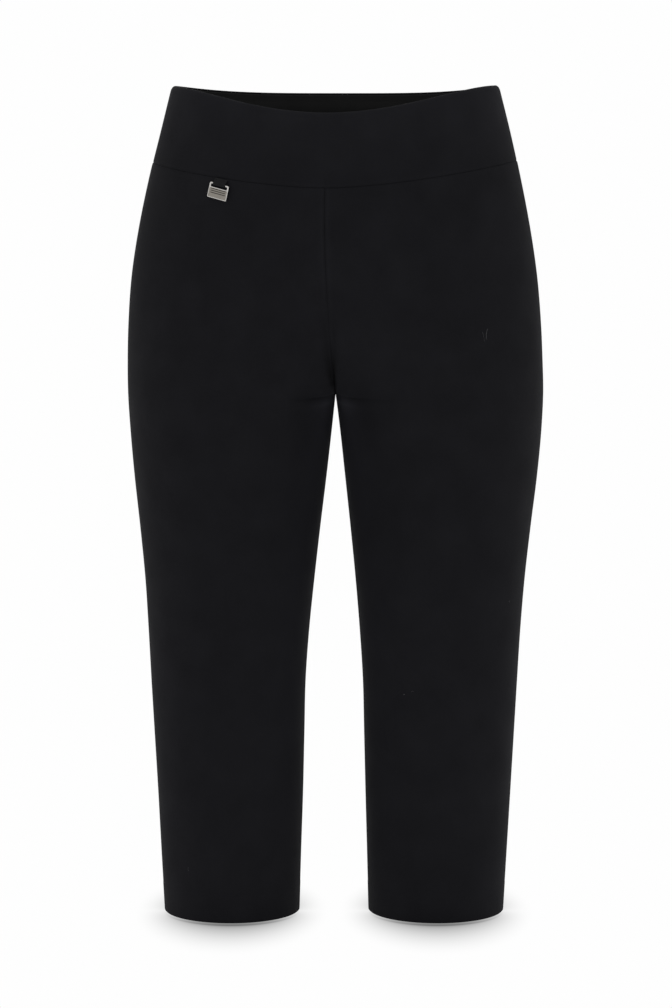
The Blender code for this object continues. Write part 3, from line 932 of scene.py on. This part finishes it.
def metal_finish(name, dark, light, smoothest, roughest, across, relief):
    """Nickel plate with fine scratches along the bar, and painted shade darkening its pressed
    lines.
    """
    finish, tree, shader = blank_finish(name)
    place = node(tree, "ShaderNodeUVMap", uv_map="metal").outputs[0]
    streaks = use(tree, BRUSHED, Vector=place, Across=across)["Streaks"]
    plate = colour_between(tree, streaks, dark, light)
    pressed = node(tree, "ShaderNodeAttribute", attribute_name="pressed").outputs["Fac"]
    tree.links.new(colour_between(tree, pressed, plate, GROOVE_SHADE_COLOUR),
                   shader.inputs["Base Color"])
    shader.inputs["Metallic"].default_value = 1.0
    rough = node(tree, "ShaderNodeMapRange", streaks, *STREAK_RANGE, smoothest, roughest)
    tree.links.new(rough.outputs[0], shader.inputs["Roughness"])
    set_relief(tree, shader, streaks, METAL_RELIEF, relief)
    return finish


def floor_finish():
    """A plain white floor, seen from above only, with the hems' soft shade on it."""
    finish, tree, shader = blank_finish("white_floor")
    tree.nodes.remove(shader)
    place = on_piece(tree)
    lights = []
    for side in (-1, 1):
        middle = section(HEM_Z)["x_mid"] + side * HEM_MIDDLE
        centre = [at * MM for at in (middle, HEM_SHADE_Y, FLOOR_Z)]
        lights.append(use(tree, HEM_SHADE, Vector=place, Centre=centre,
                          Near=[radius * MM for radius in HEM_NEAR],
                          Far=[radius * MM for radius in HEM_FAR])["Light"])
    light = maths(tree, "MULTIPLY", *lights)
    glow = node(tree, "ShaderNodeEmission", light, WHITE)
    clear = node(tree, "ShaderNodeBsdfTransparent")
    under = node(tree, "ShaderNodeNewGeometry").outputs["Backfacing"]
    both = node(tree, "ShaderNodeMixShader", under, glow.outputs[0], clear.outputs[0])
    tree.links.new(both.outputs[0], tree.nodes["Material Output"].inputs["Surface"])
    return finish


# ---- Tag ----------------------------------------------------------------------------------

def tag_place():
    """Where the tag's bar lies: X along the bar, Y into the cloth, Z up the cloth."""
    joint = frame["joints"][0]
    bar = -Vector(joint["axis"]).normalized()
    place = np.array(joint["pos_m"])
    u, z = joint_place(place)
    here = Vector(turned(form(u, z, -1, -1))) * MM
    above = Vector(turned(form(u, z + 1, -1, -1))) * MM
    up = (above - here).normalized()
    rise = (up - bar * up.dot(bar)).normalized()
    axes = Matrix((bar, rise.cross(bar), rise)).transposed().to_4x4()
    axes.translation = Vector(place)
    return axes


def joint_place(place):
    """The place on the right front leg, as u and z in mm, that is nearest to a point."""
    z = place[2] / MM
    u = np.linspace(0, 1, SAMPLES)
    points = turned(form(u, z + 0 * u, -1, -1)) * MM
    return u[np.argmin(np.linalg.norm(points - place, axis=1))], z


def rounded(left, right, low, high, radii):
    """A rectangle's outline with its four corners rounded, from the lower left round."""
    points = []
    corners = ((left, low, 1, 1, 180), (right, low, -1, 1, 270), (right, high, -1, -1, 0),
               (left, high, 1, -1, 90))
    for (x, z, right_way, up_way, start), radius in zip(corners, radii):
        for k in range(CORNER_STEPS + 1):
            angle = math.radians(start + 90 * k / CORNER_STEPS)
            points.append((x + right_way * radius + radius * math.cos(angle),
                           z + up_way * radius + radius * math.sin(angle)))
    return points


def pressed_plate(name, outlines, thickness, finish):
    """A flat metal piece with holes and softened edges, in the tag's own frame."""
    paths = [[(x * MM, z * MM, 0) for x, z in outline] for outline in outlines]
    mesh_data = curve_mesh(name, paths, [1.0] * len(paths), closed=True, dimensions="2D",
                           fill_mode="BOTH", extrude=(thickness / 2 - RIM_SOFT) * MM,
                           bevel_depth=RIM_SOFT * MM, bevel_resolution=2,
                           offset=-RIM_SOFT * MM)
    bmesh.ops.remove_doubles(mesh_data, verts=mesh_data.verts, dist=1e-7)
    bmesh.ops.transform(mesh_data, matrix=Matrix.Rotation(math.pi / 2, 4, "X"),
                        verts=mesh_data.verts)
    return hang_on_bar(name, mesh_data, finish)


def hang_on_bar(name, mesh_data, finish):
    """Give a metal piece its scratch map, and put it on the bar, leaning onto the cloth."""
    lay_map(mesh_data, "metal", lambda corner: (corner.co.x, corner.co.z))
    slid = Matrix.Translation(Vector((TAG_SHIFT[0], 0, TAG_SHIFT[1])) * MM)
    lean = Matrix.Rotation(math.radians(TAG_REST), 4, "X")
    askew = Matrix.Rotation(math.radians(TAG_ASKEW), 4, "Y")
    bmesh.ops.transform(mesh_data, matrix=tag_place() @ slid @ lean @ askew,
                        verts=mesh_data.verts)
    bmesh.ops.recalc_face_normals(mesh_data, faces=mesh_data.faces)
    return finish_object(name, mesh_data, finish, sharp=35)


def tag_rim(finish):
    """The polished frame: bar, arms and the raised rim round the plate, in one pressing."""
    half, bar = TAG_WIDTH / 2, BAR_HEIGHT / 2
    window = -bar - WINDOW_HEIGHT
    bottom = window - PLATE_HEIGHT
    inside = half - TAG_ARM
    outlines = (
        rounded(-half, half, bottom, bar, (LOW_CORNER,) * 2 + (OUTER_CORNER,) * 2),
        rounded(-inside, inside, window, -bar, (WINDOW_CORNER,) * 4),
        rounded(RIM - half, half - RIM, bottom + RIM, window - RIM, (FIELD_CORNER,) * 4),
    )
    return pressed_plate("tag_rim", outlines, TAG_THICK, finish)


def tag_field(finish):
    """The brushed field inside the rim, with fine plain lines pressed in near its top."""
    half = TAG_WIDTH / 2 - RIM
    top = -BAR_HEIGHT / 2 - WINDOW_HEIGHT - RIM
    low = top - PLATE_HEIGHT + 2 * RIM
    rows = [(top + FIELD_UNDER, 0.0)]
    for below in GROOVES:
        middle = top - below
        for share, depth in GROOVE_FORM:
            rows.append((middle + share * GROOVE_WIDTH, depth * GROOVE_DEPTH))
    rows.append((low - FIELD_UNDER, 0.0))
    ends = half - GROOVE_MARGIN
    outside = (ends, ends + GROOVE_END, half + FIELD_UNDER)
    columns = [-x for x in reversed(outside)] + list(outside)
    deep = TAG_THICK / 2 - FIELD_DEPTH
    mesh_data = bmesh.new()
    pressed = mesh_data.verts.layers.float.new("pressed")
    front = []
    for z, depth in rows:
        front.append([])
        for x in columns:
            depth_here = depth if abs(x) <= ends else 0.0
            corner = mesh_data.verts.new(Vector((x, depth_here - deep, z)) * MM)
            # how deep the groove is here, which sets how much painted shade it gets
            corner[pressed] = depth_here / GROOVE_DEPTH
            front[-1].append(corner)
    for upper, lower in zip(front, front[1:]):
        for c in range(len(columns) - 1):
            mesh_data.faces.new((upper[c], lower[c], lower[c + 1], upper[c + 1]))
    grown = bmesh.ops.extrude_face_region(mesh_data, geom=list(mesh_data.faces))["geom"]
    for item in grown:
        if isinstance(item, bmesh.types.BMVert):
            item.co.y = deep * MM
    return hang_on_bar("tag_field", mesh_data, finish)


# ---- Tape loop ----------------------------------------------------------------------------

def tape_path():
    """The middle of the folded tape in the tag's frame, as rows of (y, z): from the waist
    seam down behind the bar, round it, and slanting up in front to the seam again."""
    radius = TAPE_HOLE + TAPE_THICK / 2
    path = [(radius + out, TAPE_ROOT + up) for out, up in TAPE_BACK]
    for k in range(TAPE_BEND_STEPS + 1):
        angle = -math.pi * k / TAPE_BEND_STEPS
        path.append((radius * math.cos(angle), radius * math.sin(angle)))
    end = radius - TAPE_THICK
    for share in TAPE_RISE:
        path.append((mix(-radius, end, smooth(share) ** TAPE_EASE), share * TAPE_ROOT))
    return np.array(path + [(end + out, TAPE_ROOT + up) for out, up in TAPE_END])


def path_normals(path):
    along = np.gradient(path, axis=0)
    normals = np.stack((along[:, 1], -along[:, 0]), -1)
    return normals / np.linalg.norm(normals, axis=1, keepdims=True)


def on_bar(points):
    """Points of the tag's frame, in mm, where they belong on the garment."""
    axes = np.array(tag_place())
    return points @ axes[:3, :3].T + axes[:3, 3] / MM


def tape_faces():
    path = tape_path()
    normals = path_normals(path)
    x = np.linspace(-TAPE_WIDTH / 2, TAPE_WIDTH / 2, TAPE_COLUMNS)
    selvedge = smooth((TAPE_WIDTH / 2 - np.abs(x)) / TAPE_SELVEDGE)
    half = TAPE_THICK / 2 * mix(SELVEDGE_THICK, 1.0, selvedge)
    faces = {}
    for label, way in (("outer", -1), ("inner", 1)):
        grid = np.zeros((len(path), len(x), 3))
        grid[..., 0] = x
        grid[..., 1:] = path[:, None, :] + way * normals[:, None, :] * half[None, :, None]
        faces[label] = grid
    down = lengths(path)[:, None]
    faces["flat"] = np.stack((x + 0 * down, down + 0 * x), -1)
    faces["paler"] = SELVEDGE_PALE * (1 - selvedge) + 0 * down
    return faces


def tape_stitch_row():
    """A short row of stitches across the front layer, just below the waist seam."""
    path = tape_path()
    k = len(path) - 3
    y, z = path[k] - path_normals(path)[k] * TAPE_THICK / 2
    half = TAPE_WIDTH / 2 - STITCH_MARGIN
    x = np.linspace(-half, half, TAPE_COLUMNS)
    points = np.stack((x, y + 0 * x, z + 0 * x), -1)
    return points, np.broadcast_to((0.0, -1.0, 0.0), points.shape)


# ---- Threads ------------------------------------------------------------------------------

def stitch_tree():
    """Stitches along a line: a short bowed thread at even steps, standing on the cloth."""
    tree = bpy.data.node_groups.new("stitches", "GeometryNodeTree")
    tree.interface.new_socket("guide", in_out="INPUT", socket_type="NodeSocketGeometry")
    for label in THREAD_COLUMNS:
        tree.interface.new_socket(label, in_out="INPUT", socket_type="NodeSocketFloat")
    tree.interface.new_socket("finish", in_out="INPUT", socket_type="NodeSocketMaterial")
    tree.interface.new_socket("sewn", in_out="OUTPUT", socket_type="NodeSocketGeometry")
    given = tree.nodes.new("NodeGroupInput").outputs
    line = node(tree, "GeometryNodeMeshToCurve", given["guide"]).outputs[0]
    steps = node(tree, "GeometryNodeResampleCurve", line, None, None, given["pitch"],
                 mode="LENGTH").outputs[0]
    half = maths(tree, "MULTIPLY", given["length"], 0.5)
    ends = [node(tree, "ShaderNodeCombineXYZ", maths(tree, "MULTIPLY", half, way)).outputs[0]
            for way in (-1.0, 1.0)]
    crest = node(tree, "ShaderNodeCombineXYZ", None, None,
                 maths(tree, "MULTIPLY", given["thickness"], THREAD_BOW)).outputs[0]
    bow = node(tree, "GeometryNodeCurveQuadraticBezier", THREAD_BENDS, ends[0], crest, ends[1])
    ring = node(tree, "GeometryNodeCurvePrimitiveCircle", THREAD_SIDES, None, None, None,
                maths(tree, "MULTIPLY", given["thickness"], 0.5))
    stitch = node(tree, "GeometryNodeCurveToMesh", bow.outputs[0], ring.outputs[0])
    stitch.inputs["Fill Caps"].default_value = True
    out = node(tree, "GeometryNodeInputNamedAttribute", "out", data_type="FLOAT_VECTOR")
    tangent = node(tree, "GeometryNodeInputTangent").outputs[0]
    stand = node(tree, "FunctionNodeAxesToRotation", out.outputs[0], tangent,
                 primary_axis="Z", secondary_axis="X").outputs[0]
    turn = node(tree, "FunctionNodeEulerToRotation", node(
        tree, "ShaderNodeCombineXYZ", None, None, given["turn"]).outputs[0]).outputs[0]
    placed = node(tree, "FunctionNodeRotateRotation", stand, turn, rotation_space="LOCAL")
    copies = node(tree, "GeometryNodeInstanceOnPoints", steps, None, stitch.outputs[0], None,
                  None, placed.outputs[0])
    real = node(tree, "GeometryNodeRealizeInstances", copies.outputs[0])
    sewn = node(tree, "GeometryNodeSetMaterial", real.outputs[0], None, given["finish"])
    tree.links.new(sewn.outputs[0], tree.nodes.new("NodeGroupOutput").inputs[0])
    return tree


def stitched(name, rows, thread, finish, placed):
    """Threads along rows of (points, the way the cloth faces there), as one mesh."""
    points, ways, edges = [], [], []
    for row, way in rows:
        start = len(points)
        points += list(placed(row) * MM)
        ways += list(placed(row + way) - placed(row))
        edges += [(k, k + 1) for k in range(start, len(points) - 1)]
    guide = bpy.data.meshes.new(name)
    guide.from_pydata(points, edges, [])
    guide.attributes.new("out", "FLOAT_VECTOR", "POINT").data.foreach_set(
        "vector", np.array(ways, dtype=float).ravel())
    piece = linked(name, guide)
    sizes = dict(zip(THREAD_COLUMNS, thread))
    values = {label: size * MM for label, size in sizes.items()}
    values.update(turn=math.radians(sizes["turn"]), finish=finish)
    sewing = piece.modifiers.new("stitches", "NODES")
    sewing.node_group = STITCHES
    for item in STITCHES.interface.items_tree:
        if item.in_out == "INPUT" and item.name in values:
            sewing[item.identifier] = values[item.name]
    sewn = plain_mesh(piece)
    piece.modifiers.clear()
    piece.data = sewn
    sewn.shade_smooth()
    return piece


# ---- Lint ---------------------------------------------------------------------------------

def lint_fibre(fleck):
    """A fleck's path over the cloth: rows of points, in metres."""
    turn = math.radians(fleck["turn"])
    points = []
    for step in LINT_STEPS:
        along = step * fleck["length"] / 2
        across = fleck["bend"] * (1 - step * step)
        right = along * math.cos(turn) - across * math.sin(turn)
        up = along * math.sin(turn) + across * math.cos(turn)
        z = fleck["z"] + up
        here, beside = form(fleck["u"] + np.array((0.0, LINT_SPAN)), np.full(2, z),
                            fleck["side"], -1)
        u = fleck["u"] + LINT_SPAN * fleck["side"] * right / np.linalg.norm(beside - here)
        points.append(turned(form(u, z, fleck["side"], -1, -fleck["thickness"])) * MM)
    return points


def lint(finish):
    """A few pale fibres that cling to the cloth, as one mesh of thin tubes."""
    flecks = [dict(zip(LINT_COLUMNS, row)) for row in LINT]
    mesh_data = curve_mesh("lint_flecks", [lint_fibre(fleck) for fleck in flecks],
                           [fleck["thickness"] for fleck in flecks], closed=False,
                           dimensions="3D", bevel_depth=MM / 2, bevel_resolution=1,
                           use_fill_caps=True)
    bmesh.ops.recalc_face_normals(mesh_data, faces=mesh_data.faces)
    return finish_object("lint_flecks", mesh_data, finish)


# ---- Studio -------------------------------------------------------------------------------

def add_camera():
    data = bpy.data.cameras.new("camera")
    data.sensor_width = SENSOR
    data.lens = LENS
    data.clip_end = 50
    eye = linked("camera", data)
    eye.location = EYE
    eye.rotation_euler = (math.radians(90 - LOOK_DOWN), 0, 0)
    bpy.context.scene.camera = eye


def add_floor():
    mesh_data = bmesh.new()
    bmesh.ops.create_grid(mesh_data, x_segments=1, y_segments=1, size=FLOOR_HALF)
    bmesh.ops.translate(mesh_data, verts=mesh_data.verts, vec=(0, 0, FLOOR_Z * MM))
    finish_object("floor", mesh_data, floor_finish())


def add_daylight():
    """An even white room."""
    world = bpy.data.worlds.new("white_room")
    world.use_nodes = True
    world.node_tree.nodes["Background"].inputs["Color"].default_value = (WHITE,) * 3 + (1,)
    bpy.context.scene.world = world
    bpy.context.scene.view_settings.view_transform = "Standard"


# ---- Putting it together ------------------------------------------------------------------

def dress(piece, node_name):
    """A cloth piece that stands for a node of the frame; the node's own part is hidden."""
    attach(piece, "garment")
    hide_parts(node_name)


def trim(piece, body):
    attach(piece, body)


WEAVE = weave_group()
MOTTLE = mottle_group()
BRUSHED = brushed_group()
HEM_SHADE = hem_shade_group()
STITCHES = stitch_tree()

twill = cloth_finish("black_twill", dark=(0.0042, 0.0042, 0.0050),
                     light=(0.0156, 0.0156, 0.0187), count=2000.0, repeat=4.0,
                     smoothest=0.78, roughest=0.92, relief=0.25)
lining = cloth_finish("black_facing", dark=(0.0088, 0.0088, 0.0088),
                      light=(0.0270, 0.0270, 0.0272), count=2600.0, repeat=2.0,
                      smoothest=0.82, roughest=0.95, relief=0.2)
tape = cloth_finish("black_tape", dark=(0.0060, 0.0060, 0.0065),
                    light=(0.0210, 0.0210, 0.0225), count=3200.0, repeat=2.0,
                    smoothest=0.6, roughest=0.8, relief=0.5)
thread = thread_finish()

overlocked = []
understitched = []
for face, face_name in ((-1, "front"), (1, "back")):
    band = wall(f"band_{face_name}", waistband_faces(face), twill, turned)
    dress(band, f"waistband_{face_name}")
    faces = facing_faces(face)
    inside = wall(f"band_facing_{face_name}", faces, lining, turned)
    dress(inside, f"facing_{face_name}")
    understitched.append(understitch_row(faces, face))
    for side, side_name in ((1, "left"), (-1, "right")):
        faces = panel_faces(side, face)
        leg = wall(f"{face_name}_leg_{side_name}", faces, twill, turned)
        dress(leg, f"leg_{face_name}_{side_name}")
        overlocked += allowance_edges(faces)
trim(stitched("facing_understitching", understitched, UNDERSTITCH, thread, turned),
     "garment")
trim(stitched("overlocked_edges", overlocked, OVERLOCK, thread, turned), "garment")

loop = wall("tag_tape", tape_faces(), tape, on_bar)
dress(loop, "tag_loop")
trim(stitched("tape_stitches", [tape_stitch_row()], TAPE_STITCH, thread, on_bar),
     "garment")

polished = metal_finish("polished_nickel", dark=(0.42, 0.41, 0.39), light=(0.58, 0.565, 0.54),
                        smoothest=0.16, roughest=0.26, across=5000.0, relief=0.15)
brushed = metal_finish("brushed_nickel", dark=(0.16, 0.148, 0.13), light=(0.31, 0.288, 0.257),
                       smoothest=0.32, roughest=0.5, across=9000.0, relief=0.35)
rim = tag_rim(polished)
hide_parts("tag_plate")
trim(rim, "tag")
trim(tag_field(brushed), "tag")
trim(lint(lint_finish()), "garment")

add_camera()
add_floor()
add_daylight()
